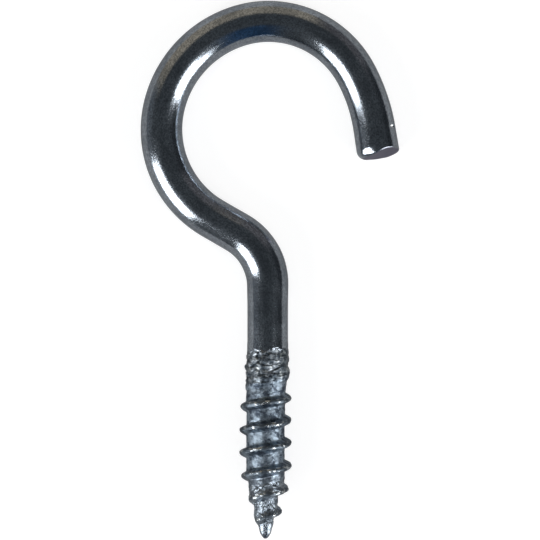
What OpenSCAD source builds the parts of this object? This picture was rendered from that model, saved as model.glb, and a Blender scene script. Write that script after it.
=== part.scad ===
// Screw hook bent from one length of round steel wire.
// It lies flat, as it comes to rest: the hook spreads in X and Y, the point looks along -Y,
// and the floor is at Z = 0.

/* [Wire] */
// Diameter of the round wire
wire_d = 4.6; // [4:0.1:5.2]
// Straight wire between the rough band and the neck
shank_l = 7.2; // [4:0.1:14]

/* [Hook bends] */
// Radius of the neck, along the middle of the wire
neck_r = 6.8; // [6:0.1:9]
// How far the neck leans the wire back
neck_angle = 60; // [50:0.5:65]
// Straight wire between the neck and the bowl of the hook
reach_l = 3.15; // [1:0.05:6]
// Radius of the back of the hook
back_r = 11.5; // [10.5:0.1:14]
// Sweep of the back of the hook
back_angle = 75.5; // [65:0.5:85]
// Radius of the brow, between the back and the crown
brow_r = 12.4; // [11:0.1:14]
// Sweep of the brow
brow_angle = 56.5; // [45:0.5:65]
// Radius of the crown, at the far end of the hook
crown_r = 11.1; // [10:0.1:13]
// Sweep of the crown
crown_angle = 80; // [70:0.5:88]
// Radius of the mouth, where the hook opens out
mouth_r = 19.5; // [14:0.5:26]
// Sweep of the mouth
mouth_angle = 19; // [10:0.5:24]

/* [Cut end] */
// Straight wire before the cut end
tip_l = 2.95; // [2:0.05:5]
// Rounding of the edge that the shear rolled over
tip_round = 0.55; // [0.2:0.05:0.9]
// How far the cut leans in the plane of the hook
cut_slant = 7; // [0:0.5:12]
// How far the cut faces up, away from the floor
cut_tilt = 12; // [0:0.5:16]

/* [Thread] */
// How far the crests stand out past the wire they are rolled from
crest_rise = 0.6; // [0.4:0.05:0.9]
// How far the roots are sunk into the wire
root_sink = 0.17; // [0.05:0.01:0.4]
// Distance from one turn to the next
pitch = 2.5; // [2.1:0.1:3]
// Length from the top of the rough band to the tip of the point
thread_l = 21.1; // [17:0.1:30]
// Width of the flat land on each crest
crest_w = 0.3; // [0.15:0.05:0.4]
// Slope of the flank that faces the hook
back_flank = 33; // [20:1:40]
// Slope of the flank that faces the point
lead_flank = 46; // [30:1:50]
// Distance from the top of the rough band to the first full crest
first_crest_l = 5.3; // [4.6:0.1:7]
// How far the rolled thread sits to one side of the shank
thread_offset = 0.24; // [0:0.02:0.3]

/* [Rough band] */
// How far the crushed metal stands out past the wire, where the thread runs out
band_rise = 0.14; // [0.11:0.01:0.3]
// Depth of its lumps
band_lump = 0.09; // [0:0.01:0.1]

/* [Point] */
// Length over which the core narrows to the point
point_l = 6.8; // [4:0.1:9]
// Length over which the crests fade towards the point
fade_l = 6.7; // [4:0.1:9]
// Length of the bare tip past the last of the thread
bare_l = 1.6; // [1:0.1:2.5]

/* [Hidden] */

// Columns round one turn, samples down one pitch, and the lattice steps from sample to sample
TURN_STEPS = 36;
PITCH_SAMPLES = 9;
STRIDE = TURN_STEPS / PITCH_SAMPLES;
// Share of a turn over which the first crest rises out of the rough band
RUN_OUT_TURN = 0.5;
// Exponents of the blunt point and of the fading crests
POINT_SHAPE = 0.6;
FADE_SHAPE = 0.5;
// The thread's skin starts this far up inside the shank, a little smaller than the wire
BURIED_L = 0.8;
BURIED_GAP = 0.25;
// Distances from the tip of the flat rings that close the point
NOSE_RINGS = [0.14, 0.04];
// Part of the rough band that the shank reaches down into
BAND_SEAT = 1.6;
// Each second stretch of wire is a hair thinner and runs on this far inside its neighbours
LAP_L = 0.3;
LAP_STEP = 0.01;
// Angle steps that scatter the lumps of the rough band
LUMP_TURNS = [97, 31, 53, 71];

wire_r = wire_d / 2;
thin_d = wire_d - 2 * LAP_STEP;
core_r = wire_r - root_sink;
crest_r = wire_r + crest_rise;
band_r = wire_r + band_rise;
land = crest_w / pitch;
back_run = (crest_r - core_r) * tan(back_flank) / pitch;
lead_run = (crest_r - core_r) * tan(lead_flank) / pitch;

// The lattice: one step down is one column's share of the pitch, so its rows follow the helix
lattice = pitch / TURN_STEPS;
first_step = ceil((first_crest_l + BURIED_L) / lattice);
buried_l = first_step * lattice - first_crest_l;
first_column = (first_step - STRIDE / 2) % TURN_STEPS;
start_angle = first_column * 360 / TURN_STEPS;
skin_l = buried_l + thread_l;
last_step = floor((skin_l - 2 * NOSE_RINGS[0]) / lattice);

// Each bend of the hook as its radius and its sweep to the right, after the neck and the reach
BENDS = [[back_r, back_angle], [brow_r, brow_angle], [crown_r, crown_angle], [mouth_r, mouth_angle]];

// Middle of the wire where the bowl starts, with the heading counted from +X
bowl_start = [
    -neck_r * (1 - cos(neck_angle)) - reach_l * sin(neck_angle),
    shank_l + neck_r * sin(neck_angle) + reach_l * cos(neck_angle),
    90 + neck_angle
];

// Centre of a right-hand bend of radius r that starts at the point and heading p
function bend_centre(p, r) = [p[0] + r * sin(p[2]), p[1] - r * cos(p[2])];

// Point and heading at heading h on a right-hand bend
function on_bend(p, r, h) = [
    bend_centre(p, r)[0] - r * sin(h),
    bend_centre(p, r)[1] + r * cos(h),
    h
];

// Where each bend starts, and where the last one ends
function bend_starts(p, i = 0) =
    i == len(BENDS) ? [p] : [p, each bend_starts(on_bend(p, BENDS[i][0], p[2] - BENDS[i][1]), i + 1)];

STARTS = bend_starts(bowl_start);
tip_start = STARTS[len(BENDS)];
tip_middle = [tip_start[0] + tip_l * cos(tip_start[2]), tip_start[1] + tip_l * sin(tip_start[2])];

// Length of the round end before the cut, so that its rolled edge stays whole on the inner side
rolled_l = tip_l + wire_r * tan(cut_slant);

// The middle of the wire furthest left and furthest up
function reached(i, h) = on_bend(STARTS[i], BENDS[i][0], min(STARTS[i][2], max(STARTS[i + 1][2], h)));
left_x = min([for (i = [0:len(BENDS) - 1]) reached(i, 90)[0]]);
crown_y = max([for (i = [0:len(BENDS) - 1]) reached(i, 0)[1]]);

// Middle of the whole hook as it lies
middle_x = (left_x + tip_middle[0]) / 2;
middle_y = (crown_y + wire_r - thread_l) / 2;

// The crests stand out past the wire, so the hook rests on its crown and its first whole crest
crest_y = -first_crest_l - 0.75 * pitch;
rest_tilt = asin(crest_rise / (crown_y - crest_y));

// Height of the ridge, from 0 at the root to 1 on the land, at q pitches from the crest
function ridge(q) =
    let (away = abs(q) - land / 2, run = q < 0 ? back_run : lead_run)
    max(0, min(1, 1 - away / run));

// How far the thread has risen out of the rough band, at a turn counted from the first full crest
function risen(turn) = max(0, min(1, 1 + turn / RUN_OUT_TURN));

// Radius of the core and height of the crests at a distance before the tip
function core_at(before_tip) = core_r * pow(max(0, min(1, before_tip / point_l)), POINT_SHAPE);
function crest_h(before_tip) =
    (crest_r - core_r) * pow(max(0, min(1, (before_tip - bare_l) / fade_l)), FADE_SHAPE);

// One lump of the rough band, between -1 and 1
function lump(j, u) =
    sin(LUMP_TURNS[0] * j + LUMP_TURNS[1] * u) * cos(LUMP_TURNS[2] * j - LUMP_TURNS[3] * u);

// Radius of the skin at column j and step u: the ridge, or the rough band where it still fills the groove
function skin_r(j, u) =
    let (
        down = u * lattice,
        core = core_at(skin_l - down),
        v = (u - j - STRIDE / 2) / TURN_STEPS,
        round_off = (j - first_column) / TURN_STEPS,
        first = (first_step - first_column - STRIDE / 2) / TURN_STEPS,
        crest = risen(round(v) + round_off - first),
        groove = risen(ceil(v) + round_off - first),
        rough = (band_r - core + band_lump * lump(j, u)) * (1 - groove),
        top = core + crest_h(skin_l - down) - band_r
    )
    down < buried_l ? wire_r - BURIED_GAP
    : core + max(rough, ridge(v - round(v)) * (band_r - core + crest * top));

// How far the skin's middle has moved over to the thread's own axis, in the turn before the first full crest
function shift(down) = thread_offset * max(0, min(1, 1 + (down - buried_l - first_crest_l) / pitch));

// Corner of the skin in column j, at a distance down from its top
function corner(j, down, r) =
    let (a = start_angle - j * 360 / TURN_STEPS)
    [r * cos(a) - shift(down), r * sin(a), buried_l - down];

// Steps at which column j has a corner: the two ends, and the rows of the helix between them
function column(j) = [
    0,
    each [for (u = [1:last_step - 1]) if ((u - j) % STRIDE == 0) u],
    last_step
];

COLUMNS = [for (j = [0:TURN_STEPS - 1]) column(j)];
FIRSTS = [for (j = 0, n = 0; j <= TURN_STEPS; n = n + len(column(j % TURN_STEPS)), j = j + 1) n];
NOSE_FIRST = FIRSTS[TURN_STEPS];
NOSE_TIP = NOSE_FIRST + len(NOSE_RINGS) * TURN_STEPS;

// Triangles between two neighbouring columns a and b, whose corners are numbered from na and nb
function strip(a, b, na, nb, i = 0, k = 0) =
    i == len(a) - 1 && k == len(b) - 1 ? []
    : k == len(b) - 1 || (i < len(a) - 1 && a[i + 1] + 1 <= b[k + 1])
        ? [[na + i, na + i + 1, nb + k], each strip(a, b, na, nb, i + 1, k)]
        : [[na + i, nb + k + 1, nb + k], each strip(a, b, na, nb, i, k + 1)];

// Number of the corner in column j on ring m below the lattice, where ring 0 is its last step
function ring_corner(m, j) =
    let (c = j % TURN_STEPS)
    m == 0 ? FIRSTS[c] + len(COLUMNS[c]) - 1 : NOSE_FIRST + (m - 1) * TURN_STEPS + c;

// Rough band, thread and point as one closed skin, with its axis on Z and its point downwards
module threaded_end() {
    corners = [
        each [for (j = [0:TURN_STEPS - 1]) each [for (u = COLUMNS[j]) corner(j, u * lattice, skin_r(j, u))]],
        each [for (t = NOSE_RINGS) each [for (j = [0:TURN_STEPS - 1]) corner(j, skin_l - t, core_at(t))]],
        corner(0, skin_l, 0)
    ];
    rings = len(NOSE_RINGS);
    faces = [
        [for (j = [0:TURN_STEPS - 1]) FIRSTS[j]],
        each [
            for (j = [0:TURN_STEPS - 1])
                each strip(COLUMNS[j], COLUMNS[(j + 1) % TURN_STEPS], FIRSTS[j], FIRSTS[(j + 1) % TURN_STEPS])
        ],
        each [
            for (m = [0:rings - 1], j = [0:TURN_STEPS - 1])
                each [
                    [ring_corner(m, j), ring_corner(m + 1, j), ring_corner(m, j + 1)],
                    [ring_corner(m, j + 1), ring_corner(m + 1, j), ring_corner(m + 1, j + 1)]
                ]
        ],
        each [for (j = [0:TURN_STEPS - 1]) [ring_corner(rings, j), NOSE_TIP, ring_corner(rings, j + 1)]]
    ];
    polyhedron(corners, faces, convexity = 12);
}

// Straight stretch that runs on along +Y, thin and lapped into the bends before and after it
module straight(l) {
    translate([0, -LAP_L, 0]) rotate([-90, 0, 0]) cylinder(d = thin_d, h = l + 2 * LAP_L, $fn = 64);
}

// Bend to the right about an upright axis, either full size or thin and lapped at both ends
module bend_right(r, angle, thin = false) {
    lap = thin ? LAP_L / r * 180 / PI : 0;
    translate([r, 0, 0])
        rotate_extrude(angle = angle + 2 * lap, start = 180 - angle - lap, $fn = 180)
            translate([r, 0]) circle(d = thin ? thin_d : wire_d, $fn = 64);
}

// Moves on to the end of a right-hand bend
module after_bend(r, angle) {
    translate([r, 0, 0]) rotate([0, 0, -angle]) translate([-r, 0, 0]) children();
}

// Straight end of the wire with one edge rolled over and the cut face left leaning
module cut_end() {
    big = 4 * wire_d;
    difference() {
        rotate([-90, 0, 0])
            rotate_extrude($fn = 64)
                union() {
                    square([wire_r - tip_round, rolled_l]);
                    square([wire_r, rolled_l - tip_round]);
                    translate([wire_r - tip_round, rolled_l - tip_round]) circle(r = tip_round, $fn = 48);
                }
        translate([0, tip_l, 0])
            rotate([0, 0, cut_slant])
                rotate([cut_tilt, 0, 0])
                    translate([-big / 2, 0, -big / 2]) cube(big);
    }
}

// The bends of the bowl, each one starting where the last one ends, and then the cut end
module bowl(i = 0) {
    if (i < len(BENDS)) {
        bend_right(BENDS[i][0], BENDS[i][1], thin = i % 2 == 1);
        after_bend(BENDS[i][0], BENDS[i][1]) bowl(i + 1);
    } else {
        cut_end();
    }
}

// Shank, neck, reach and bowl, with the top of the rough band at the origin
module bent_wire() {
    translate([0, -BAND_SEAT, 0]) straight(BAND_SEAT + shank_l);
    translate([0, shank_l, 0]) {
        mirror([1, 0, 0]) bend_right(neck_r, neck_angle);
        mirror([1, 0, 0]) after_bend(neck_r, neck_angle) {
            straight(reach_l);
            translate([0, reach_l, 0]) mirror([1, 0, 0]) bowl();
        }
    }
}

module screw_hook() {
    color("#8f989f")
        translate([0, 0, wire_r + (crown_y - middle_y) * sin(rest_tilt)])
            rotate([-rest_tilt, 0, 0])
                translate([-middle_x, -middle_y, 0]) {
                    bent_wire();
                    rotate([-90, 0, 0]) threaded_end();
                }
}

screw_hook();
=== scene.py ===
"""A screw hook of zinc-plated steel wire, lying flat on a pale floor and seen from straight above.

The hook is one length of wire. It is modelled upright in its own plane, with the top of the rough band at
the origin and the shank along +Y, and is then laid down where the CAD solid lies. Sizes are in millimetres,
and MM turns them into metres.
"""

import logging
import math
from collections.abc import Sequence
from dataclasses import dataclass, field
from enum import Enum

import bpy
import numpy as np
from mathutils import Euler, Matrix, Vector, noise


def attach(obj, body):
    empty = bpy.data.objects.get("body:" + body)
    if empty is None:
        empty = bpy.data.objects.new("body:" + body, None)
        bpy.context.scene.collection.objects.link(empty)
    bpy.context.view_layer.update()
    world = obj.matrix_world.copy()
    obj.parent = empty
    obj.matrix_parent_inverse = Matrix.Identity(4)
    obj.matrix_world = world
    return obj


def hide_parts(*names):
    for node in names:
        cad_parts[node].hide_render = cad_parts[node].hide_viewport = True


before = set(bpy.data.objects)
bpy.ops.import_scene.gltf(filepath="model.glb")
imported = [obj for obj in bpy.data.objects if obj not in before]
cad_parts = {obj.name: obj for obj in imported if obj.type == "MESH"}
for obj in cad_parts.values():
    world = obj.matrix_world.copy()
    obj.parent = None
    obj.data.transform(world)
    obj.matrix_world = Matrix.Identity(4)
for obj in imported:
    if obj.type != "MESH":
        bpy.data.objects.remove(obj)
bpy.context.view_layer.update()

MM = 0.001
NODE = "screw_hook"
PHOTO_PIXELS = 540
MM_PER_PIXEL = 0.11185
TOUCHING_MM = 0.001
WHITE = (1.0, 1.0, 1.0)

Span = tuple[float, float]
Triple = tuple[float, float, float]
Socket = bpy.types.NodeSocket

log = logging.getLogger("screw_hook")


class Mask(Enum):
    """Values kept on the hook's vertices, which its finish reads."""

    PLACE = "place_on_wire"
    WORKED = "worked"
    CREST = "crest"
    CRUSHED = "crushed"
    GAP = "gap"
    CUT = "cut"
    NICK = "nick"


def smooth_step(x: np.ndarray, low: float, high: float, full: float = 1.0) -> np.ndarray:
    """Ease from 0 at low to full at high.

    Args:
        x: values to ease.
        low: value at which the result leaves 0.
        high: value at which the result is full.
        full: the full result.

    Returns:
        Values from 0 to full, of the shape of x.
    """
    t = np.clip((x - low) / (high - low), 0.0, 1.0)
    return full * t * t * (3.0 - 2.0 * t)


def fractal(points: np.ndarray, size: Sequence[float], octaves: int = 2) -> np.ndarray:
    """Smooth noise at points, the same on every run.

    Args:
        points: n x 3 array of places.
        size: size of one lump along each axis, in the units of the points.
        octaves: how many finer layers are added.

    Returns:
        n values, mostly between -1 and 1.
    """
    scaled = points / np.array(size)
    return np.array([noise.fractal(Vector(p), 1.0, 2.0, octaves) for p in scaled])


@dataclass(frozen=True)
class Stretch:
    """One stretch of the wire: straight where it has no radius, and otherwise a bend.

    Attributes:
        length: length of a straight stretch.
        radius: radius of a bend, along the middle of the wire.
        turn: degrees of a bend, counted to the left.
        gap: distance between the rings that it is drawn with.
    """

    length: float = 0.0
    radius: float = 0.0
    turn: float = 0.0
    gap: float = 0.4

    def run(self) -> float:
        """Length along the middle of the wire."""
        return self.length + self.radius * math.radians(abs(self.turn))


class Modeller:
    """Hand tools of the modeller, on one object at a time."""

    @staticmethod
    def put_down() -> None:
        """Leave edit mode and deselect everything."""
        if bpy.context.object and bpy.context.object.mode != "OBJECT":
            bpy.ops.object.mode_set(mode="OBJECT")
        bpy.ops.object.select_all(action="DESELECT")

    @staticmethod
    def take(obj: bpy.types.Object) -> None:
        """Make one object the only selected and active one.

        Args:
            obj: the object to work on.
        """
        Modeller.put_down()
        obj.select_set(True)
        bpy.context.view_layer.objects.active = obj

    @staticmethod
    def settle() -> None:
        """Put the active object's place into its mesh."""
        bpy.ops.object.transform_apply(location=True, rotation=True, scale=True)

    @staticmethod
    def ring(name: str, vertices: int, radius: float, y: float) -> bpy.types.Object:
        """Draw a round edge loop that looks along Y.

        Args:
            name: name of the new object.
            vertices: corners of the loop.
            radius: its radius.
            y: its place along Y.

        Returns:
            The new object, active and settled.
        """
        Modeller.put_down()
        bpy.ops.mesh.primitive_circle_add(
            vertices=vertices,
            radius=radius * MM,
            fill_type="NOTHING",
            location=(0, y * MM, 0),
            rotation=(math.pi / 2, 0, 0),
        )
        obj = bpy.context.object
        obj.name = obj.data.name = name
        Modeller.settle()
        return obj

    @staticmethod
    def corners(obj: bpy.types.Object) -> np.ndarray:
        """Places of an object's vertices.

        Args:
            obj: a mesh object.

        Returns:
            n x 3 array in millimetres.
        """
        flat = np.zeros(len(obj.data.vertices) * 3)
        obj.data.vertices.foreach_get("co", flat)
        return flat.reshape(-1, 3) / MM

    @staticmethod
    def move(obj: bpy.types.Object, points: np.ndarray) -> None:
        """Move an object's vertices.

        Args:
            obj: a mesh object.
            points: n x 3 array in millimetres.
        """
        obj.data.vertices.foreach_set("co", (points * MM).ravel())
        obj.data.update()


@dataclass
class BentWire:
    """The smooth wire: shank, neck, bowl and the cut end.

    Attributes:
        wire_r: radius of the wire.
        around: corners round it.
        start: where it starts above the rough band.
        stretches: the wire from the top of the band to its end.
        widths: half width in the plane of the hook, by place along the wire.
        slant: degrees by which the middle of the cut leans in the plane of the hook.
        slant_reach: distance from the middle over which it leans so.
        tilt: degrees by which the cut faces up.
        twist: degrees more for each millimetre towards the outer side.
        twist_reach: distance from the middle over which it twists.
        lean_over: distances before the end over which the wire comes to lean with the cut.
        edge: least rounding of the cut's edge.
        rolls: more rounding: how much, at which angle round the wire, how narrowly.
        sharp_edge: roundings over which the edge becomes sharp.
        cap_insets: widths of the rings on the cut face, from its edge inwards.
        cut_fade: width over which the finish of the cut begins.
        rim_shade_reach: distances over which the cut face's dull colour reaches onto the side by a sharp
            edge, as painted shade that dims the edge's highlight, and its strength there.
        press_angle: where the end is pressed flatter, in degrees from the right.
        press_spread: how wide that is, in degrees.
        press_length: how long it is.
        press_slope: how fast it sinks, in degrees.
        press_fade: softness of its start.
        nick_place: middle of the nick near the end: to the right, along, up.
        nick_size: its reach along the same three.
        nick_depth: its depth.
        flat_from: where a narrow flat starts along the wire.
        flat_angle: where it lies, in degrees from the right.
        flat_depth: how deep it is pressed.
        flat_fade: length over which it begins.
        obj: the tube, once it is drawn.
    """

    wire_r: float = 2.3
    around: int = 96
    start: float = 0.6
    stretches: tuple[Stretch, ...] = (
        Stretch(length=7.2),
        Stretch(radius=6.8, turn=60),
        Stretch(length=3.15),
        Stretch(radius=11.5, turn=-75.5),
        Stretch(radius=12.4, turn=-56.5),
        Stretch(radius=11.1, turn=-80),
        Stretch(radius=19.5, turn=-16),
        Stretch(radius=19.5, turn=-3, gap=0.09),
        Stretch(length=3.03, gap=0.09),
    )
    widths: tuple[Span, ...] = (
        *((0.0, 2.27), (5.0, 2.27), (10.0, 2.37), (16.0, 2.32), (24.0, 2.35)),
        *((36.0, 2.31), (50.0, 2.30), (63.0, 2.31), (69.0, 2.38), (72.0, 2.42)),
    )
    slant: float = 10.5
    slant_reach: float = 1.1
    tilt: float = 8.0
    twist: float = 4.2
    twist_reach: float = 1.0
    lean_over: Span = (2.4, 0.1)
    edge: float = 0.06
    rolls: tuple[Triple, ...] = ((0.85, 0, 4), (0.1, 180, 4))
    sharp_edge: Span = (0.2, 0.15)
    cap_insets: tuple[float, ...] = (
        *(0.04, 0.05, 0.06, 0.07, 0.08, 0.1, 0.1, 0.1),
        *(0.12, 0.14, 0.16, 0.18, 0.2, 0.25, 0.3),
    )
    cut_fade: float = 0.1
    rim_shade_reach: Triple = (0.15, 0.09, 0.4)
    press_angle: float = 60.0
    press_spread: float = 18.0
    press_length: float = 0.9
    press_slope: float = 12.0
    press_fade: float = 0.05
    nick_place: Triple = (-2.0, 66.92, 1.14)
    nick_size: Triple = (0.26, 0.22, 0.28)
    nick_depth: float = 0.36
    flat_from: float = 67.4
    flat_angle: float = 158.0
    flat_depth: float = 0.07
    flat_fade: float = 0.3
    obj: bpy.types.Object | None = None

    def length(self) -> float:
        """Length of the wire from the top of the rough band to its end."""
        return sum(s.run() for s in self.stretches)

    def build(self) -> bpy.types.Object:
        """Draw the wire as one tube, closed at its cut end.

        Returns:
            The tube, open at the rough band.
        """
        self.obj = Modeller.ring("smooth_wire", self.around, self.wire_r, self.start)
        bpy.ops.object.mode_set(mode="EDIT")
        bpy.ops.mesh.select_all(action="SELECT")
        here, heading = Vector((0.0, self.start, 0.0)), math.pi / 2
        for i, stretch in enumerate(self.stretches):
            if stretch.radius:
                here, heading = self._bend(here, heading, stretch)
            else:
                length = stretch.length - (self.start if i == 0 else 0.0)
                here = self._straight(here, heading, length, stretch.gap)
        self._cap()
        return self.obj

    def _straight(self, here: Vector, heading: float, length: float, gap: float) -> Vector:
        """Extrude the last ring straight on.

        Args:
            here: middle of the last ring.
            heading: direction of the wire, counted from +X.
            length: how far it goes.
            gap: distance between rings.

        Returns:
            Middle of the new last ring.
        """
        ahead = Vector((math.cos(heading), math.sin(heading), 0.0))
        steps = max(1, round(length / gap))
        for _ in range(steps):
            bpy.ops.mesh.extrude_edges_move(TRANSFORM_OT_translate={"value": ahead * (length / steps * MM)})
        return here + ahead * length

    def _bend(self, here: Vector, heading: float, bend: Stretch) -> tuple[Vector, float]:
        """Spin the last ring round a bend.

        Args:
            here: middle of the last ring.
            heading: direction of the wire, counted from +X.
            bend: the bend to follow.

        Returns:
            Middle of the new last ring, and the new heading.
        """
        side = math.copysign(1.0, bend.turn)
        to_centre = Vector((-math.sin(heading), math.cos(heading), 0.0)) * bend.radius * side
        centre = here + to_centre
        turn = math.radians(bend.turn)
        # Without a window the spin turns clockwise, so a bend to the left takes a negative angle
        bpy.ops.mesh.spin(
            steps=max(2, round(bend.run() / bend.gap)),
            angle=-turn,
            center=centre * MM,
            axis=(0, 0, 1),
        )
        return centre + Matrix.Rotation(turn, 3, "Z") @ -to_centre, heading + turn

    def _cap(self) -> None:
        """Close the last ring with a cut face that has rings enough to be shaped."""
        bpy.ops.mesh.edge_face_add()
        for thickness in self.cap_insets:
            bpy.ops.mesh.inset(thickness=thickness * MM)
        bpy.ops.mesh.poke()
        bpy.ops.object.mode_set(mode="OBJECT")

    def stations(self, gap: float = 0.02) -> tuple[np.ndarray, np.ndarray, np.ndarray]:
        """Walk along the middle of the wire.

        Args:
            gap: distance between stations.

        Returns:
            Distance along the wire, n x 2 places, and headings.
        """
        runs, middles, headings = [], [], []
        here, heading, gone = np.zeros(2), math.pi / 2, 0.0
        for stretch in self.stretches:
            t = np.linspace(0.0, stretch.run(), max(2, round(stretch.run() / gap)))
            side = math.copysign(1.0, stretch.turn)
            if stretch.radius:
                angles = heading + side * t / stretch.radius
                normal = np.array([-math.sin(heading), math.cos(heading)]) * side * stretch.radius
                centre = here + normal
                places = centre + side * stretch.radius * np.stack([np.sin(angles), -np.cos(angles)], 1)
            else:
                angles = np.full(len(t), heading)
                places = here + t[:, None] * np.array([math.cos(heading), math.sin(heading)])
            runs.append(gone + t)
            middles.append(places)
            headings.append(angles)
            here, heading, gone = places[-1], angles[-1], gone + stretch.run()
        return np.concatenate(runs), np.concatenate(middles), np.concatenate(headings)

    def straightened(self, points: np.ndarray) -> tuple[np.ndarray, np.ndarray, np.ndarray]:
        """Find each point's place on the wire as if the wire were straight.

        Args:
            points: n x 3 places in the upright frame.

        Returns:
            n x 3 straight places (to the right, along, up), and the bent frame's n x 2 rights and aheads.
        """
        run, middle, heading = self.stations()
        nearest = np.empty(len(points), int)
        at_once = 1500
        for first in range(0, len(points), at_once):
            part = points[first : first + at_once, :2]
            apart = ((part[:, None, :] - middle[None, :, :]) ** 2).sum(2)
            nearest[first : first + at_once] = apart.argmin(1)
        ahead = np.stack([np.cos(heading[nearest]), np.sin(heading[nearest])], 1)
        right = np.stack([ahead[:, 1], -ahead[:, 0]], 1)
        off = points[:, :2] - middle[nearest]
        along = run[nearest] + (off * ahead).sum(1)
        return np.stack([(off * right).sum(1), along, points[:, 2]], 1), right, ahead

    def form(self, points: np.ndarray) -> tuple[np.ndarray, np.ndarray, np.ndarray, np.ndarray]:
        """Give the drawn tube the swells, marks and cut end of the real wire.

        Args:
            points: n x 3 places of the drawn tube in the upright frame.

        Returns:
            The formed places, their straightened places, how much each takes the cut face's dull colour
            (the face itself, and painted shade on the side by a sharp edge), and how much each is of the
            nick.
        """
        straight, right, ahead = self.straightened(points)
        formed = straight.copy()
        cut = self._roll_edge(straight, formed)
        self._press_end(straight, formed)
        self._lean_cut(formed)
        nick = self._mark_side(straight, formed)
        formed[:, 0] *= np.interp(straight[:, 1], *np.array(self.widths).T) / self.wire_r

        step = formed - straight
        bent = points.copy()
        bent[:, :2] += step[:, :1] * right + step[:, 1:2] * ahead
        bent[:, 2] += step[:, 2]
        return bent, straight, cut, nick

    def _roll_edge(self, straight: np.ndarray, formed: np.ndarray) -> np.ndarray:
        """Turn the corner of side and cut face into an arc.

        Args:
            straight: n x 3 places on the plain wire.
            formed: the same places, which are changed.

        Returns:
            How much each takes the cut face's dull colour: the face itself, and painted shade on the side
            by a sharp edge.
        """
        end = self.length()
        across = np.hypot(straight[:, 0], straight[:, 2])
        angle = np.arctan2(straight[:, 2], straight[:, 0])
        edge = np.full(len(straight), self.edge)
        for more, towards, narrow in self.rolls:
            edge += more * (0.5 + 0.5 * np.cos(angle - math.radians(towards))) ** narrow
        back = np.clip(end - straight[:, 1], 0.0, None)
        inward = np.clip(self.wire_r - across, 0.0, None)
        on_face = back < TOUCHING_MM
        near = np.where(on_face, inward, back) < edge
        bow = math.pi / 4 * np.where(on_face, 1 + inward / edge, 1 - back / edge)
        rolled = self.wire_r - edge + edge * np.cos(bow)
        ratio = np.where(near, rolled, across) / np.maximum(across, TOUCHING_MM)
        formed[:, [0, 2]] *= np.where(across > TOUCHING_MM, ratio, 1.0)[:, None]
        formed[:, 1] = np.where(near, end - edge + edge * np.sin(bow), straight[:, 1])

        brink = 0.5 * edge - self.cut_fade
        # By a sharp edge the cut face's dull colour reaches onto the side as painted shade, which dims the
        # edge's highlight
        rim = smooth_step(edge, *self.sharp_edge) * smooth_step(back, *self.rim_shade_reach)
        return np.where(on_face, smooth_step(inward - brink, 0.0, self.cut_fade), rim)

    def _press_end(self, straight: np.ndarray, formed: np.ndarray) -> None:
        """Press the end flatter on its inner top.

        Args:
            straight: n x 3 places on the plain wire.
            formed: the same places, which are changed.
        """
        angle = np.arctan2(straight[:, 2], straight[:, 0])
        into = straight[:, 1] - (self.length() - self.press_length)
        into = 0.5 * (into + np.hypot(into, self.press_fade))
        share = np.exp(-(((angle - math.radians(self.press_angle)) / math.radians(self.press_spread)) ** 2))
        sunk = share * into * math.tan(math.radians(self.press_slope)) / self.wire_r
        formed[:, [0, 2]] *= 1 - sunk[:, None]

    def _lean_cut(self, formed: np.ndarray) -> None:
        """Lean the cut, and the wire behind it.

        Args:
            formed: n x 3 places on the straight wire, which are changed.
        """
        lean_from, lean_to = (self.length() - before for before in self.lean_over)
        lean = smooth_step(formed[:, 1], lean_from, lean_to)
        aside = self.slant_reach * np.tanh(formed[:, 0] / self.slant_reach)
        tilt = self.tilt - self.twist * np.clip(formed[:, 0], -self.twist_reach, self.twist_reach)
        slanted = aside * math.tan(math.radians(self.slant))
        formed[:, 1] += lean * (slanted - formed[:, 2] * np.tan(np.radians(tilt)))

    def _mark_side(self, straight: np.ndarray, formed: np.ndarray) -> np.ndarray:
        """Sink the nick that the cutter left, and the narrow flat below it.

        Args:
            straight: n x 3 places on the plain wire.
            formed: the same places, which are changed.

        Returns:
            How much each is of the nick.
        """
        off = (formed - np.array(self.nick_place)) / np.array(self.nick_size)
        nick = np.exp(-(off**2).sum(1))
        flat = math.radians(self.flat_angle)
        outward = np.array([math.cos(flat), 0.0, math.sin(flat)])
        proud = np.clip(formed @ outward - (self.wire_r - self.flat_depth), 0.0, None)
        proud *= smooth_step(straight[:, 1], self.flat_from, self.flat_from + self.flat_fade)
        formed -= proud[:, None] * outward
        formed[:, [0, 2]] *= 1 - (self.nick_depth * nick / self.wire_r)[:, None]
        return nick


@dataclass
class Marks:
    """What rolling and crushing left on each corner of the skin, each from 0 to 1.

    Attributes:
        worked: how far it has the look of rolled metal, not of smooth wire.
        crest: how far it lies on a crest or on its flank towards the hook, where the ridges get painted
            shade.
        crushed: how far it is crushed to flakes.
        gap: how far it lies between two flakes.
    """

    worked: np.ndarray
    crest: np.ndarray
    crushed: np.ndarray
    gap: np.ndarray


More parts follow.
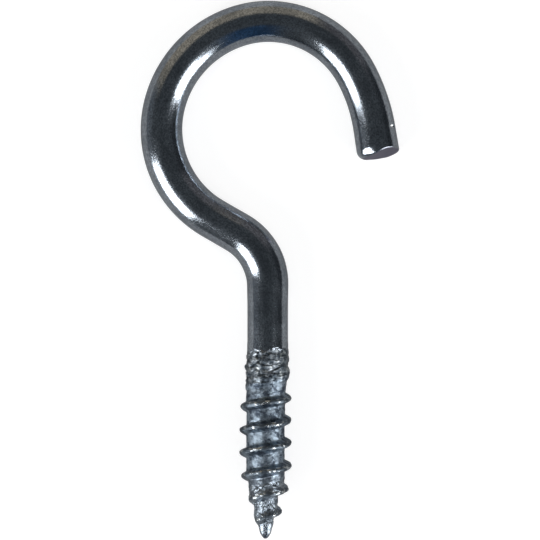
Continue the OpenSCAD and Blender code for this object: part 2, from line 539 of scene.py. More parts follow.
@dataclass
class ThreadedEnd:
    """The rolled end: rough band, wood-screw thread and point.

    Attributes:
        wire_r: radius of the wire that it is rolled from.
        around: corners round the screw.
        turn_steps: rings in one turn of the helix.
        start: where the skin starts above the rough band.
        length: distance from the top of the band to the tip.
        pitch: distance from one turn to the next.
        first_crest: distance down to the first full crest, on the right side.
        axis_offset: how far the thread's axis lies to the left of the shank's.
        lean: how much lower each turn is on the right, per unit of width.
        band_r: radius over the band.
        nose: roundness of the ridge, where 1 is a sharp roof.
        back_run: width of the flank towards the hook.
        lead_run: width of the flank towards the point.
        corner: softness of the ridge's corners.
        blend: how far grooves run into each other where no ridge parts them.
        crests: radius over the crest, by turns from the first full one.
        cores: radius of the groove below it.
        drift: how far the crests wander from an even pitch.
        drift_fade: shares of a pitch over which one crest's drift turns into the next one's.
        drift_from: distances down over which lean and drift begin.
        drift_ends: distances before the tip over which they end.
        axis_fade: distance below the first crest where the offset is full.
        opens: turns over which the groove opens out of the band.
        fills: turns over which the crest becomes whole.
        dying_turn: turn where the thread dies out.
        dying: turns from there over which it is crushed again, and how strongly.
        swells: swells of the band: degrees round it, distance down, height.
        folds: narrow folds of the band, given the same way.
        swell_size: reach of a swell along the screw and its spread round it.
        fold_size: the same for a fold.
        flake_size: size of a flake across, along and through the screw.
        flake_step: how much higher or lower the flakes lie.
        flake_tilt: how much they are tilted.
        flake_gap: width and depth of the gap between them.
        band_slant: how much higher the band starts on the right, and lower on the left.
        band_ragged: how ragged its start is.
        band_step: least length of the step at its start, and how much more it can be.
        beads_per_turn: nicks along one turn of the crest.
        bead: height of the crest between them.
        crest_grain: height of the crest's fine roughness.
        groove_grain: height of the groove's.
        tip_r: radius where the round tip starts.
        tip_length: length of the round tip.
        cone: how fast the bare point widens above it.
        pinch: distances before the tip over which it is hollowed, and how much.
        thread_over: distances before the tip over which the point turns into the thread.
        crest_from: turns over which the painted shade on the crests begins.
        crest_ends: distances before the tip over which it ends.
        crest_side: distances below a crest over which it fades, and how much.
        crest_narrow: how narrow it is on the ridge.
        bright: distances before the tip over which the finish gets brighter, and how much.
        bare: the same for the bare point.
        obj: the skin, once it is swept.
    """

    wire_r: float = 2.3
    around: int = 96
    turn_steps: int = 64
    start: float = 0.6
    length: float = 21.1
    pitch: float = 2.5
    first_crest: float = 5.3
    axis_offset: float = 0.25
    lean: float = 0.028
    band_r: float = 2.4
    nose: float = 2.8
    back_run: float = 0.47
    lead_run: float = 0.57
    corner: float = 0.07
    blend: float = 0.35
    crests: tuple[Span, ...] = (
        *((-0.5, 2.4), (0.0, 2.87), (0.5, 2.79), (1.0, 2.9), (1.5, 2.89), (2.0, 2.93), (2.5, 2.92)),
        *((3.0, 2.94), (3.5, 2.7), (4.0, 2.61), (4.5, 1.9), (5.0, 1.83), (5.5, 1.15), (6.0, 0.7)),
    )
    cores: tuple[Span, ...] = (
        *((-1.0, 2.17), (0.0, 2.2), (0.5, 2.12), (1.0, 2.14), (3.0, 2.14), (3.5, 1.9)),
        *((4.0, 1.42), (4.5, 1.3), (5.0, 0.92), (5.5, 0.72), (6.0, 0.6)),
    )
    drift: tuple[Span, ...] = (
        *((0.0, 0.0), (0.5, -0.17), (1.0, -0.05), (2.5, -0.04), (3.5, 0.09), (4.5, 0.2), (5.5, 0.17)),
    )
    drift_fade: Span = (0.2, 0.8)
    drift_from: Span = (1.0, 5.0)
    drift_ends: Span = (0.0, 1.5)
    axis_fade: float = 0.5
    opens: Span = (-1.5, -1.0)
    fills: Span = (-0.5, 0.2)
    dying_turn: float = 4.6
    dying: Triple = (1.0, 0.6, 0.5)
    swells: tuple[Triple, ...] = (
        *((0, 1.1, 0.05), (0, 1.65, -0.1), (0, 2.35, 0.07), (60, 0.9, 0.07), (75, 2.2, -0.09)),
        *((120, 1.3, 0.08), (110, 3.1, 0.07), (150, 2.4, 0.06), (180, 1.9, 0.05), (180, 3.7, 0.08)),
        *((250, 1.2, 0.08), (300, 2.4, 0.07)),
    )
    folds: tuple[Triple, ...] = (
        *((35, 1.42, -0.1), (50, 2.5, -0.1), (130, 1.75, -0.07), (120, 3.55, -0.06)),
    )
    swell_size: Span = (0.32, 0.12)
    fold_size: Span = (0.1, 0.2)
    flake_size: Triple = (0.95, 0.6, 0.95)
    flake_step: float = 0.1
    flake_tilt: float = 0.26
    flake_gap: Span = (0.3, 0.07)
    band_slant: float = 0.2
    band_ragged: float = 0.4
    band_step: Span = (0.12, 0.5)
    beads_per_turn: float = 30.0
    bead: float = 0.06
    crest_grain: float = 0.02
    groove_grain: float = 0.028
    tip_r: float = 0.6
    tip_length: float = 0.73
    cone: float = 0.22
    pinch: Triple = (2.4, 1.2, 0.1)
    thread_over: Span = (1.3, 2.4)
    crest_from: Span = (-0.5, 0.0)
    crest_ends: Span = (1.2, 2.0)
    crest_side: Triple = (0.12, 0.3, 0.7)
    crest_narrow: float = 1.5
    bright: Triple = (8.0, 6.5, 0.25)
    bare: Triple = (2.3, 1.5, 0.35)
    obj: bpy.types.Object | None = None

    def build(self) -> bpy.types.Object:
        """Sweep a ring down the helix, so that its columns follow the thread, and close it at the tip.

        Returns:
            The swept skin, round and even, open at its top.
        """
        self.obj = Modeller.ring("threaded_end", self.around, self.wire_r, self.start)
        run = self.start + self.length
        turns = run / self.pitch
        helix = self.obj.modifiers.new("helix", "SCREW")
        helix.axis = "Y"
        helix.angle = -2 * math.pi * turns
        helix.screw_offset = -run * MM
        helix.steps = helix.render_steps = round(turns * self.turn_steps)
        helix.use_normal_calculate = False
        bpy.ops.object.modifier_apply(modifier=helix.name)
        self._close_tip()
        return self.obj

    def _close_tip(self) -> None:
        """Draw the last ring together into the tip."""
        low = -self.length * MM
        for v in self.obj.data.vertices:
            v.select = abs(v.co.y - low) < TOUCHING_MM * MM
        bpy.ops.object.mode_set(mode="EDIT")
        bpy.ops.mesh.select_mode(type="VERT")
        bpy.ops.mesh.merge(type="CENTER")
        bpy.ops.object.mode_set(mode="OBJECT")

    def _ridge(self, along: np.ndarray) -> np.ndarray:
        """Height of the ridge, from 0 in the groove to 1 on the crest.

        Args:
            along: distance from the crest, positive towards the point.

        Returns:
            Heights of the same shape.
        """
        samples, reach = 501, 3
        x, gap = np.linspace(-self.pitch / 2, self.pitch / 2, samples, retstep=True)
        flank = np.where(x < 0, self.back_run, self.lead_run)
        sharp = np.clip(1 - (np.abs(x) / flank) ** self.nose, 0.0, 1.0)
        width = round(2 * reach * self.corner / gap)
        spread = np.exp(-0.5 * np.linspace(-reach, reach, width) ** 2)
        soft = np.convolve(np.pad(sharp, width, mode="edge"), spread / spread.sum(), mode="same")
        return np.interp(along, x, soft[width:-width])

    def form(self, points: np.ndarray) -> tuple[np.ndarray, Marks]:
        """Raise the crests, sink the grooves, crush the band and draw the point down.

        Args:
            points: n x 3 places of the swept skin in the upright frame.

        Returns:
            The formed places, and the marks of the work on them.
        """
        x, y, z = points.T
        down = -y
        before_tip = np.maximum(self.length - down, 0.0)
        phi = np.mod(np.arctan2(z, x), 2 * math.pi)
        share = phi / (2 * math.pi)
        q = (down - self.first_crest) / self.pitch - share
        turn = np.round(q) + share
        off = (q - np.round(q)) * self.pitch
        below = smooth_step(off, -self.blend, self.blend)
        rim = np.stack([self.wire_r * np.cos(phi), y, self.wire_r * np.sin(phi)], 1)

        # Crests, and grooves that open out of the band
        core = np.interp(turn - 1 + below, *np.array(self.cores).T)
        top = np.interp(turn, *np.array(self.crests).T)
        opened = (1 - below) * smooth_step(turn - 1, *self.opens) + below * smooth_step(turn, *self.opens)
        base = self.band_r + (core - self.band_r) * opened
        ridge = self._ridge(off)
        full = smooth_step(turn, *self.fills)
        beads = fractal(np.stack([turn * self.beads_per_turn, 0 * turn, 0 * turn], 1), (1.0, 1.0, 1.0), 1)
        top = top + (self.bead * beads + self.crest_grain * fractal(rim, (0.3, 0.15, 0.3), 2)) * full
        radius = base + ridge * (top - base)

        # Crushed flakes of the band, and again where the thread dies out before the point
        flakes, gaps = self._flakes(rim)
        lumps = flakes + self._lumps(phi, down)
        dying = smooth_step(np.abs(turn - self.dying_turn), *self.dying)
        crushed = np.maximum((1 - opened) * (1 - ridge * full), dying)
        radius = radius + lumps * crushed + self.groove_grain * fractal(rim, (0.6, 0.4, 0.6), 3) * opened

        # Smooth wire above the band, and the bare point below the thread
        begun = self._begun(phi, down, rim)
        radius = self.wire_r + (radius - self.wire_r) * begun
        threaded = smooth_step(before_tip, *self.thread_over)
        radius = radius * threaded + self._point(phi, before_tip) * (1 - threaded)

        formed = np.stack([radius * np.cos(phi), y, radius * np.sin(phi)], 1)
        above = np.floor(q)
        drift, next_drift = (np.interp(above + share + more, *np.array(self.drift).T) for more in (0, 1))
        drift = drift + (next_drift - drift) * smooth_step(q - above, *self.drift_fade)
        fixed = smooth_step(down, *self.drift_from) * smooth_step(before_tip, *self.drift_ends)
        formed[:, 1] -= fixed * (self.lean * formed[:, 0] + drift)
        on_axis = smooth_step(down, self.first_crest - self.pitch, self.first_crest + self.axis_fade)
        formed[:, 0] -= self.axis_offset * on_axis
        formed[np.hypot(x, z) < TOUCHING_MM] = [-self.axis_offset, -self.length, 0.0]

        # Where the ridges get painted shade: on the crest and its flank towards the hook, less on the flank
        # towards the point
        crest = ridge**self.crest_narrow * (1 - smooth_step(off, *self.crest_side))
        crest = crest * smooth_step(turn, *self.crest_from) * smooth_step(before_tip, *self.crest_ends)
        brighter = smooth_step(before_tip, *self.bright) + smooth_step(before_tip, *self.bare)
        return formed, Marks(begun * (1 - brighter), crest, crushed * begun, gaps * begun)

    def _lumps(self, phi: np.ndarray, down: np.ndarray) -> np.ndarray:
        """Heights of the swells and folds of the band.

        Args:
            phi: angles round the screw.
            down: distances down.

        Returns:
            Heights of the same shape.
        """
        heights = np.zeros(len(phi))
        for marks, (reach, spread) in ((self.swells, self.swell_size), (self.folds, self.fold_size)):
            for around, at, height in marks:
                turned = np.cos(phi - math.radians(around))
                heights += height * np.exp(-(((down - at) / reach) ** 2) - (1 - turned) / spread)
        return heights

    def _begun(self, phi: np.ndarray, down: np.ndarray, rim: np.ndarray) -> np.ndarray:
        """How far the band has begun, with a ragged step on the smooth wire.

        Args:
            phi: angles round the screw.
            down: distances down.
            rim: n x 3 places on the round skin.

        Returns:
            Shares from 0 on the smooth wire to 1 on the band.
        """
        round_it = rim * [1, 0, 1]
        ragged = self.band_ragged * fractal(round_it, (0.4, 1.0, 0.4), 3)
        longer = np.clip(fractal(round_it + 7.3, (0.5, 1.0, 0.5), 2), 0.0, 1.0)
        step = self.band_step[0] + self.band_step[1] * longer
        return np.clip((down + self.band_slant * np.cos(phi) - ragged) / step, 0.0, 1.0)

    def _point(self, phi: np.ndarray, before_tip: np.ndarray) -> np.ndarray:
        """Radius of the bare point: a blunt cone with a round tip, hollowed on top and below.

        Args:
            phi: angles round the screw.
            before_tip: distances before the tip.

        Returns:
            Radii of the same shape.
        """
        radius = self.tip_r * np.minimum(1.0, before_tip / self.tip_length) ** 0.5
        radius = radius + self.cone * np.maximum(before_tip - self.tip_length, 0.0)
        return radius * (1 - smooth_step(before_tip, *self.pinch) * np.sin(phi) ** 8)

    def _flakes(self, rim: np.ndarray) -> tuple[np.ndarray, np.ndarray]:
        """Heights of the crushed flakes, each one a small tilted facet, and the gaps between them.

        Args:
            rim: n x 3 places on the round skin.

        Returns:
            n heights, and n shares of a gap from 0 on a flake to 1 between flakes.
        """
        heights, gaps = np.empty(len(rim)), np.empty(len(rim))
        gap_width, gap_depth = self.flake_gap
        for i, p in enumerate(rim / np.array(self.flake_size)):
            at = Vector(p)
            apart, centres = noise.voronoi(at)
            tilt = noise.cell_vector(centres[0] * 5.13) - Vector((0.5, 0.5, 0.5))
            level = noise.cell(centres[0] * 7.31) - 0.5
            gaps[i] = max(0.0, 1 - (apart[1] - apart[0]) / gap_width)
            facet = self.flake_step * level + self.flake_tilt * tilt.dot(at - centres[0])
            heights[i] = facet - gap_depth * gaps[i] ** 2
        return heights, gaps


@dataclass(frozen=True)
class Lie:
    """How the upright model is laid on the floor.

    Attributes:
        middle_x: middle of its box to the right of the shank.
        middle_y: middle of its box above the top of the rough band.
        lift: height of that middle over the floor.
        tilt: how far the crown is lower than the point, in degrees.
    """

    middle_x: float = 0.257115
    middle_y: float = 8.95956
    lift: float = 2.679455
    tilt: float = 0.783215

    def lay(self, obj: bpy.types.Object) -> None:
        """Lay an upright object down and put its place into its mesh.

        Args:
            obj: the object to lay down.
        """
        Modeller.take(obj)
        turn = Matrix.Rotation(-math.radians(self.tilt), 4, "X")
        raise_up = Matrix.Translation((0, 0, self.lift * MM))
        centre = Matrix.Translation((-self.middle_x * MM, -self.middle_y * MM, 0))
        obj.matrix_world = raise_up @ turn @ centre
        Modeller.settle()


class Wiring:
    """Nodes and links of one node tree, with short ways to add the steps that a finish is made of."""

    def __init__(self, tree: bpy.types.NodeTree) -> None:
        """Take a node tree to work on."""
        self.nodes, self.links = tree.nodes, tree.links

    def put(self, kind: str, **settings: str | float) -> bpy.types.Node:
        """Add a node and set its properties.

        Args:
            kind: the node's type.
            settings: properties by name.

        Returns:
            The node.
        """
        node = self.nodes.new(kind)
        for name, value in settings.items():
            setattr(node, name, value)
        return node

    def feed(self, socket: Socket, value: object) -> None:
        """Link a socket, or set its own value where it gets a number, a vector or a colour.

        Args:
            socket: the input to feed.
            value: an output socket, a number or a tuple.
        """
        if isinstance(value, Socket):
            self.links.new(value, socket)
        elif isinstance(value, tuple) and socket.type == "RGBA":
            socket.default_value = (*value, 1.0)[:4]
        elif value is not None:
            socket.default_value = value

    def math(self, operation: str, first: object, second: object = None) -> Socket:
        """One step of arithmetic.

        Args:
            operation: name of the step.
            first: first socket or number.
            second: second socket or number, if the step has one.

        Returns:
            The result's socket.
        """
        node = self.put("ShaderNodeMath", operation=operation)
        self.feed(node.inputs[0], first)
        self.feed(node.inputs[1], second)
        return node.outputs["Value"]

    def ease(self, value: object, low: object, high: object, to: Span = (0.0, 1.0)) -> Socket:
        """Map a value smoothly from one range to another.

        Args:
            value: the value's socket.
            low: where the result is the first of to.
            high: where it is the second.
            to: the two ends of the result.

        Returns:
            The result's socket.
        """
        node = self.put("ShaderNodeMapRange", interpolation_type="SMOOTHSTEP")
        for name, number in (("Value", value), ("From Min", low), ("From Max", high)):
            self.feed(node.inputs[name], number)
        self.feed(node.inputs["To Min"], to[0])
        self.feed(node.inputs["To Max"], to[1])
        return node.outputs["Result"]

    def blend(self, factor: object, first: object, second: object, kind: str = "RGBA") -> Socket:
        """Mix two colours, or two values of another kind.

        Args:
            factor: share of the second.
            first: socket or value.
            second: socket or value.
            kind: the node's name for what it mixes.

        Returns:
            The mixed value's socket.
        """
        node = self.put("ShaderNodeMix", data_type=kind)
        inputs = [socket for socket in node.inputs if socket.enabled]
        for socket, value in zip(inputs, (factor, first, second), strict=True):
            self.feed(socket, value)
        return next(socket for socket in node.outputs if socket.enabled)

    def between(self, factor: object, first: object, second: object) -> Socket:
        """Mix two numbers as blend mixes colours."""
        return self.blend(factor, first, second, "FLOAT")

    def mask(self, mask: Mask) -> Socket:
        """Read one of the hook's own vertex values.

        Args:
            mask: which value.

        Returns:
            Its socket, a vector for the place on the wire.
        """
        node = self.put("ShaderNodeAttribute", attribute_name=mask.value)
        return node.outputs["Vector" if mask is Mask.PLACE else "Fac"]


@dataclass(frozen=True)
class Mottle:
    """Lumpy pattern on the straightened wire, as a node group that gives a mask.

    Attributes:
        per_mm: lumps in a millimetre across, along and through the wire.
        detail: layers of finer lumps.
        rough: strength of the finer layers.
        low: noise at which the mask is 0.
        high: noise at which it is 1.
    """

    per_mm: Triple
    detail: float
    rough: float
    low: float
    high: float

    @staticmethod
    def group() -> bpy.types.NodeTree:
        """Build the node group once and give it back after that."""
        name = "plate_mottle"
        if name in bpy.data.node_groups:
            return bpy.data.node_groups[name]
        tree = bpy.data.node_groups.new(name, "ShaderNodeTree")
        for names, kind in (
            (("Place", "Per Millimetre"), "NodeSocketVector"),
            (("Detail", "Roughness", "Low", "High"), "NodeSocketFloat"),
        ):
            for socket in names:
                tree.interface.new_socket(name=socket, in_out="INPUT", socket_type=kind)
        tree.interface.new_socket(name="Mask", in_out="OUTPUT", socket_type="NodeSocketFloat")
        wiring = Wiring(tree)
        given = wiring.put("NodeGroupInput").outputs
        scaled = wiring.put("ShaderNodeVectorMath", operation="MULTIPLY")
        wiring.feed(scaled.inputs[0], given["Place"])
        wiring.feed(scaled.inputs[1], given["Per Millimetre"])
        lumps = wiring.put("ShaderNodeTexNoise")
        wiring.feed(lumps.inputs["Vector"], scaled.outputs["Vector"])
        wiring.feed(lumps.inputs["Scale"], 1.0)
        wiring.feed(lumps.inputs["Detail"], given["Detail"])
        wiring.feed(lumps.inputs["Roughness"], given["Roughness"])
        mask = wiring.ease(lumps.outputs["Fac"], given["Low"], given["High"])
        wiring.feed(wiring.put("NodeGroupOutput").inputs["Mask"], mask)
        return tree

    def place(self, wiring: Wiring, place: Socket) -> Socket:
        """Put the group into a material.

        Args:
            wiring: the material's nodes.
            place: place on the straightened wire.

        Returns:
            The mask's socket.
        """
        node = wiring.put("ShaderNodeGroup", node_tree=self.group())
        values = (place, self.per_mm, self.detail, self.rough, self.low, self.high)
        for socket, value in zip(node.inputs, values, strict=True):
            wiring.feed(socket, value)
        return node.outputs["Mask"]


@dataclass(frozen=True)
class ZincPlate:
    """Bright zinc plate on steel wire: smooth on the bends, scuffed on the thread, matt on the cut.

    Attributes:
        plate: colour of the smooth plate.
        dull: colour of its duller clouds.
        specks: colour of its fine specks.
        scuffed: colour of the scuffed metal between the crests.
        pits: colour of its dark patches.
        ridge_shade: colour of the painted shade on the ridges and their flanks towards the hook.
        bare: colour of the dots worn bare on the crests.
        fresh: colour of the steel in the nick.
        flake: colour of the crushed flakes.
        dirt_and_gap_shade: colour of the dirty patches on the flakes, and of the painted shade in the gaps
            between them.
        sheared_and_rim_shade: colour of the cut face, also painted as shade on the side by its sharp edge.
        clouds: pattern of the clouds.
        speckle: pattern of the specks.
        grain: pattern of the smooth plate's roughness.
        patches: pattern of scuffs and pits.
        grit: pattern of the fine bumps.
        dots: pattern of the bare dots.
        speck_share: strength of the specks.
        gap_shade_share: strength of the painted shade in the gaps.
        ridge_shade_over: crest values over which the painted ridge shade begins, and its strength.
        worn_over: the same for their roughness.
        nick_over: nick values over which the fresh steel begins.
        smooth_rough: least and most roughness of the smooth plate.
        rolled_rough: roughness of pits and of scuffs.
        ridge_rough: roughness of the painted ridge shade and of bare dots.
        flake_rough: roughness of the flakes.
        nick_rough: roughness of the nick.
        cut_rough: roughness of the cut face.
        bump: strength of the bumps.
        bump_height: their height.
        smooth_bump: share of it on the smooth plate.
        flake_bump: height of the patches on the flakes.
    """

    plate: Triple = (0.62, 0.67, 0.73)
    dull: Triple = (0.42, 0.46, 0.51)
    specks: Triple = (0.20, 0.23, 0.26)
    scuffed: Triple = (0.40, 0.48, 0.56)
    pits: Triple = (0.075, 0.095, 0.125)
    ridge_shade: Triple = (0.10, 0.12, 0.14)
    bare: Triple = (0.78, 0.82, 0.82)
    fresh: Triple = (0.95, 0.96, 0.96)
    flake: Triple = (0.50, 0.55, 0.60)
    dirt_and_gap_shade: Triple = (0.08, 0.10, 0.12)
    sheared_and_rim_shade: Triple = (0.20, 0.19, 0.24)
    clouds: Mottle = Mottle((0.6, 0.35, 0.6), 4.0, 0.6, 0.40, 0.66)
    speckle: Mottle = Mottle((6.0, 4.5, 6.0), 3.0, 0.75, 0.38, 0.64)
    grain: Mottle = Mottle((4.0, 0.35, 4.0), 3.0, 0.6, 0.25, 0.75)
    patches: Mottle = Mottle((1.2, 1.4, 1.2), 5.0, 0.68, 0.40, 0.60)
    grit: Mottle = Mottle((6.0, 7.0, 6.0), 3.0, 0.6, 0.2, 0.8)
    dots: Mottle = Mottle((2.1, 2.1, 2.1), 2.0, 0.6, 0.53, 0.60)
    speck_share: float = 0.7
    gap_shade_share: float = 0.7
    ridge_shade_over: Triple = (0.45, 0.95, 0.85)
    worn_over: Triple = (0.02, 0.4, 0.9)
    nick_over: Span = (0.1, 0.6)
    smooth_rough: Span = (0.09, 0.16)
    rolled_rough: Span = (0.46, 0.34)
    ridge_rough: Span = (0.40, 0.18)
    flake_rough: float = 0.28
    nick_rough: float = 0.25
    cut_rough: float = 0.55
    bump: float = 0.5
    bump_height: float = 0.05
    smooth_bump: float = 0.09
    flake_bump: float = 2.0

    def material(self) -> bpy.types.Material:
        """Build the node material.

        Returns:
            The material.
        """
        mat = bpy.data.materials.new("bright_zinc_plate")
        mat.use_nodes = True
        w = Wiring(mat.node_tree)
        shader = w.nodes["Principled BSDF"]
        shader.inputs["Metallic"].default_value = 1.0
        place, worked, crest, crushed, gap, cut, nick = (w.mask(m) for m in Mask)
        patterns = (self.clouds, self.speckle, self.grain, self.patches, self.grit, self.dots)
        clouds, speckle, grain, patches, grit, dots = (pattern.place(w, place) for pattern in patterns)

        smooth = w.blend(clouds, self.plate, self.dull)
        smooth = w.blend(w.math("MULTIPLY", speckle, self.speck_share), smooth, self.specks)
        rolled = w.blend(patches, self.pits, self.scuffed)
        flakes = w.blend(patches, self.dirt_and_gap_shade, w.blend(dots, self.flake, self.bare))
        # Painted shade in the gaps between the flakes
        flakes = w.blend(w.math("MULTIPLY", gap, self.gap_shade_share), flakes, self.dirt_and_gap_shade)
        colour = w.blend(worked, smooth, w.blend(crushed, rolled, flakes))
        # Painted shade on the ridges and their flanks towards the hook, broken by dots worn bare
        ridge = w.blend(dots, self.ridge_shade, self.bare)
        low, high, share = self.ridge_shade_over
        colour = w.blend(w.ease(crest, low, high, (0.0, share)), colour, ridge)
        nicked = w.ease(nick, *self.nick_over)
        colour = w.blend(nicked, colour, self.fresh)
        # The cut face's dull colour, also painted as shade on the side by its sharp edge
        w.feed(shader.inputs["Base Color"], w.blend(cut, colour, self.sheared_and_rim_shade))

        smooth = w.ease(grain, 0.0, 1.0, self.smooth_rough)
        rolled = w.ease(patches, 0.0, 1.0, self.rolled_rough)
        rough = w.between(worked, smooth, w.between(crushed, rolled, self.flake_rough))
        ridge = w.ease(dots, 0.0, 1.0, self.ridge_rough)
        low, high, share = self.worn_over
        rough = w.between(w.ease(crest, low, high, (0.0, share)), rough, ridge)
        rough = w.between(nicked, rough, self.nick_rough)
        w.feed(shader.inputs["Roughness"], w.between(cut, rough, self.cut_rough))

        bump = w.put("ShaderNodeBump")
        w.feed(bump.inputs["Strength"], self.bump)
        w.feed(bump.inputs["Distance"], self.bump_height * MM)
        uneven = w.math("MULTIPLY", w.math("MULTIPLY", crushed, patches), self.flake_bump)
        smooth = w.math("MULTIPLY", speckle, self.smooth_bump)
        w.feed(bump.inputs["Height"], w.between(worked, smooth, w.math("ADD", grit, uneven)))
        w.feed(shader.inputs["Normal"], bump.outputs["Normal"])
        return mat


@dataclass
class ScrewHook:
    """The whole hook: smooth wire and threaded end welded into one skin.

    Attributes:
        wire: the smooth wire.
        thread: the threaded end.
        finish: the plate on both.
        lie: how the hook lies on the floor.
        obj: the whole hook, once it is built.
    """

    wire: BentWire = field(default_factory=BentWire)
    thread: ThreadedEnd = field(default_factory=ThreadedEnd)
    finish: ZincPlate = field(default_factory=ZincPlate)
    lie: Lie = field(default_factory=Lie)
    obj: bpy.types.Object | None = None

    def build(self) -> bpy.types.Object:
        """Model, weld, form and lay the hook.

        Returns:
            The finished piece.
        """
        wire, thread = self.wire.build(), self.thread.build()
        Modeller.take(wire)
        thread.select_set(True)
        bpy.ops.object.join()
        self.obj = wire
        self.obj.name = self.obj.data.name = "bent_wire_hook"
        bpy.ops.object.mode_set(mode="EDIT")
        bpy.ops.mesh.select_all(action="SELECT")
        bpy.ops.mesh.remove_doubles(threshold=TOUCHING_MM * MM)
        bpy.ops.mesh.normals_make_consistent(inside=False)
        bpy.ops.object.mode_set(mode="OBJECT")
        self._form()
        bpy.ops.object.shade_smooth()
        self.lie.lay(self.obj)
        return self.obj

    def _form(self) -> None:
        """Shape the two parts and keep the masks that the finish reads."""
        points = Modeller.corners(self.obj)
        below = points[:, 1] < self.wire.start + TOUCHING_MM
        screw = below & (np.abs(points[:, 0]) < self.wire.wire_r + TOUCHING_MM)
        place = points.copy()
        masks = {mask: np.zeros(len(points)) for mask in Mask if mask is not Mask.PLACE}
        formed, straight, on_cut, nick = self.wire.form(points[~screw])
        points[~screw], place[~screw] = formed, straight
        masks[Mask.CUT][~screw], masks[Mask.NICK][~screw] = on_cut, nick
        points[screw], marks = self.thread.form(points[screw])
        masks[Mask.WORKED][screw], masks[Mask.CREST][screw] = marks.worked, marks.crest
        masks[Mask.CRUSHED][screw], masks[Mask.GAP][screw] = marks.crushed, marks.gap
        Modeller.move(self.obj, points)
        data = self.obj.data.attributes
        data.new(Mask.PLACE.value, "FLOAT_VECTOR", "POINT").data.foreach_set("vector", place.ravel())
        for mask, values in masks.items():
            data.new(mask.value, "FLOAT", "POINT").data.foreach_set("value", values)

    def dress(self) -> None:
        """Give the hook its finish and tie it to the CAD solid."""
        self.obj.data.materials.clear()
        self.obj.data.materials.append(self.finish.material())
        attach(self.obj, "root")
        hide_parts(NODE)


@dataclass(frozen=True)
class SoftBox:
    """A lit panel of the studio, named by the part of the sky that it fills over the hook.

    Attributes:
        azimuth: degrees counted from +X, first edge and last edge.
        zenith: degrees from straight up, upper edge and lower edge.
        glow: brightness of its face, where 1 is white.
        soft: width of its soft edge, in degrees.
    """

    azimuth: Span
    zenith: Span
    glow: Triple
    soft: float = 5.0

    def lit(self, wiring: Wiring, looked: Socket) -> Socket:
        """1 where a direction meets the panel and 0 where it passes it.

        Args:
            wiring: the room's nodes.
            looked: the direction.

        Returns:
            The mask's socket.
        """
        turned = wiring.put("ShaderNodeVectorRotate", rotation_type="Z_AXIS")
        wiring.feed(turned.inputs["Vector"], looked)
        wiring.feed(turned.inputs["Angle"], -math.radians(sum(self.azimuth) / 2))
        parts = wiring.put("ShaderNodeSeparateXYZ")
        wiring.feed(parts.inputs["Vector"], turned.outputs["Vector"])
        azimuth = wiring.math("ARCTAN2", parts.outputs["Y"], parts.outputs["X"])
        zenith = wiring.math("ARCCOSINE", parts.outputs["Z"])
        zenith = wiring.math("SUBTRACT", zenith, math.radians(sum(self.zenith) / 2))
        shares = []
        for angle, (first, last) in ((azimuth, self.azimuth), (zenith, self.zenith)):
            half, soft = math.radians(last - first) / 2, math.radians(self.soft) / 2
            shares.append(wiring.ease(wiring.math("ABSOLUTE", angle), half + soft, half - soft))
        return wiring.math("MULTIPLY", *shares)


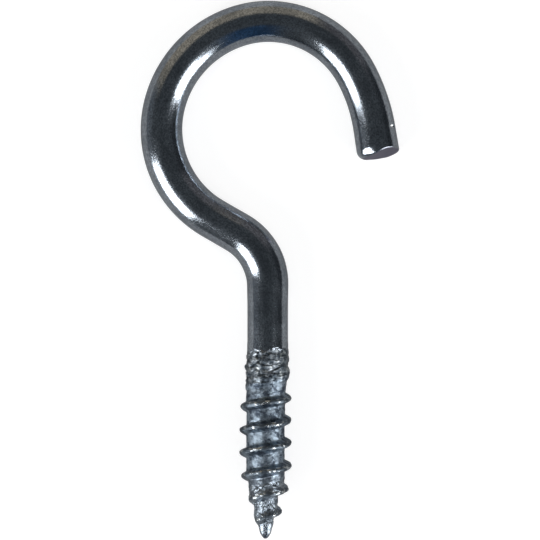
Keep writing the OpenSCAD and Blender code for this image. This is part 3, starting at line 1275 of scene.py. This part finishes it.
@dataclass
class Studio:
    """Pale floor, soft boxes, dim room and the camera that looks straight down.

    Attributes:
        floor_colour: grey of the floor.
        floor_lift: glow that makes it white for the camera.
        mirrored_floor: glow of the floor in metal and glass.
        mirrored_room: glow of the white room in them.
        floor_size: width of the floor in metres.
        lamp_size: width of the overhead lamp in metres.
        lamp_power: its power in watts.
        lamp_height: its height in metres.
        lens: focal length of the camera.
        sensor: width of its sensor.
        focus: height at which the photo's scale holds.
        clip: nearest and farthest distance that it sees, in metres.
        dark: colour of the room between the panels.
        panels: the lit and the dim panels, later ones over earlier ones.
    """

    floor_colour: float = 0.36
    floor_lift: float = 0.77
    mirrored_floor: float = 0.01
    mirrored_room: float = 0.012
    floor_size: float = 12.0
    lamp_size: float = 1.6
    lamp_power: float = 6.0
    lamp_height: float = 1.5
    lens: float = 200.0
    sensor: float = 36.0
    focus: float = 2.4
    clip: Span = (0.01, 20.0)
    dark: Triple = (0.042, 0.048, 0.053)
    panels: tuple[SoftBox, ...] = (
        SoftBox((150, 200), (58, 110), (0.118, 0.128, 0.14), 30.0),
        SoftBox((-16, 30), (58, 100), (0.018, 0.021, 0.025), 24.0),
        SoftBox((190, 232), (26, 90), (0.19, 0.20, 0.21), 36.0),
        SoftBox((-50, -12), (22, 90), (0.16, 0.17, 0.18), 36.0),
        SoftBox((194.5, 226), (42, 82), (6.5, 6.6, 6.7), 3.0),
        SoftBox((-46.5, -16), (55, 83), (6.5, 6.6, 6.7), 4.0),
        SoftBox((-37, -16), (38, 60), (6.5, 6.6, 6.7), 4.0),
        SoftBox((34, 64), (46, 97), (0.11, 0.105, 0.11), 8.0),
        SoftBox((66, 153), (43, 100), (0.30, 0.26, 0.205), 8.0),
        SoftBox((-95, -57), (25, 93), (0.010, 0.040, 0.09), 14.0),
    )

    def build(self) -> None:
        """Set up floor, light and camera."""
        self._floor()
        self._room()
        self._fill_lamp()
        self._camera()

    @staticmethod
    def _seen(wiring: Wiring, seen: float, mirrored: float) -> Socket:
        """Strength of the white background, by what looks at it.

        Args:
            wiring: nodes of the floor or the room.
            seen: strength for the camera.
            mirrored: strength for metal and glass.

        Returns:
            The strength's socket.
        """
        path = wiring.put("ShaderNodeLightPath").outputs
        in_metal = wiring.math("ADD", path["Is Glossy Ray"], path["Is Transmission Ray"])
        in_metal = wiring.math("MULTIPLY", in_metal, mirrored)
        return wiring.math("ADD", wiring.math("MULTIPLY", path["Is Camera Ray"], seen), in_metal)

    def _floor(self) -> None:
        """Lay the pale floor, which looks white and keeps the hook's shadow."""
        Modeller.put_down()
        bpy.ops.mesh.primitive_plane_add(size=self.floor_size)
        floor = bpy.context.object
        floor.name = floor.data.name = "pale_floor"
        mat = bpy.data.materials.new("pale_floor")
        mat.use_nodes = True
        w = Wiring(mat.node_tree)
        shader = w.nodes["Principled BSDF"]
        w.feed(shader.inputs["Base Color"], (self.floor_colour,) * 3)
        w.feed(shader.inputs["Roughness"], 1.0)
        w.feed(shader.inputs["Specular IOR Level"], 0.0)
        glow = w.put("ShaderNodeEmission")
        w.feed(glow.inputs["Strength"], self._seen(w, self.floor_lift, self.mirrored_floor))
        both = w.put("ShaderNodeAddShader")
        w.feed(both.inputs[0], shader.outputs["BSDF"])
        w.feed(both.inputs[1], glow.outputs["Emission"])
        w.feed(w.nodes["Material Output"].inputs["Surface"], both.outputs["Shader"])
        floor.data.materials.append(mat)

    def _room(self) -> None:
        """Paint the room: dark overhead, the panels round it, and white where the camera looks."""
        world = bpy.data.worlds.new("dim_room")
        bpy.context.scene.world = world
        world.use_nodes = True
        w = Wiring(world.node_tree)
        looked = w.put("ShaderNodeTexCoord").outputs["Generated"]
        colour = self.dark
        for panel in self.panels:
            colour = w.blend(panel.lit(w, looked), colour, panel.glow)
        colour = w.blend(self._seen(w, 1.0, self.mirrored_room), colour, WHITE)
        w.feed(w.nodes["Background"].inputs["Color"], colour)

    def _fill_lamp(self) -> None:
        """Hang a wide soft lamp overhead, which lights the floor to a plain level."""
        lamp = bpy.data.lights.new("overhead_fill", "AREA")
        lamp.shape = "DISK"
        lamp.size = self.lamp_size
        lamp.energy = self.lamp_power
        obj = bpy.data.objects.new("overhead_fill", lamp)
        obj.location = (0, 0, self.lamp_height)
        obj.visible_camera = False
        obj.visible_glossy = False
        bpy.context.scene.collection.objects.link(obj)

    def _camera(self) -> None:
        """Look straight down at the photo's scale."""
        cam = bpy.data.cameras.new("camera")
        cam.lens = self.lens
        cam.sensor_width = self.sensor
        obj = bpy.data.objects.new("camera", cam)
        width = PHOTO_PIXELS * MM_PER_PIXEL * MM
        half_pixel = MM_PER_PIXEL * MM / 2
        obj.location = (0.0, -half_pixel, width * self.lens / self.sensor + self.focus * MM)
        obj.rotation_euler = Euler((0.0, 0.0, 0.0))
        cam.clip_start, cam.clip_end = self.clip
        bpy.context.scene.collection.objects.link(obj)
        bpy.context.scene.camera = obj


def main() -> None:
    """Build the hook and its studio."""
    logging.basicConfig(level=logging.INFO, format="%(name)s: %(message)s")
    bpy.context.scene.view_settings.view_transform = "Standard"
    hook = ScrewHook()
    piece = hook.build()
    hook.dress()
    log.info("%s: %d vertices, %d faces", piece.name, len(piece.data.vertices), len(piece.data.polygons))
    Studio().build()


if __name__ == "__main__":
    main()
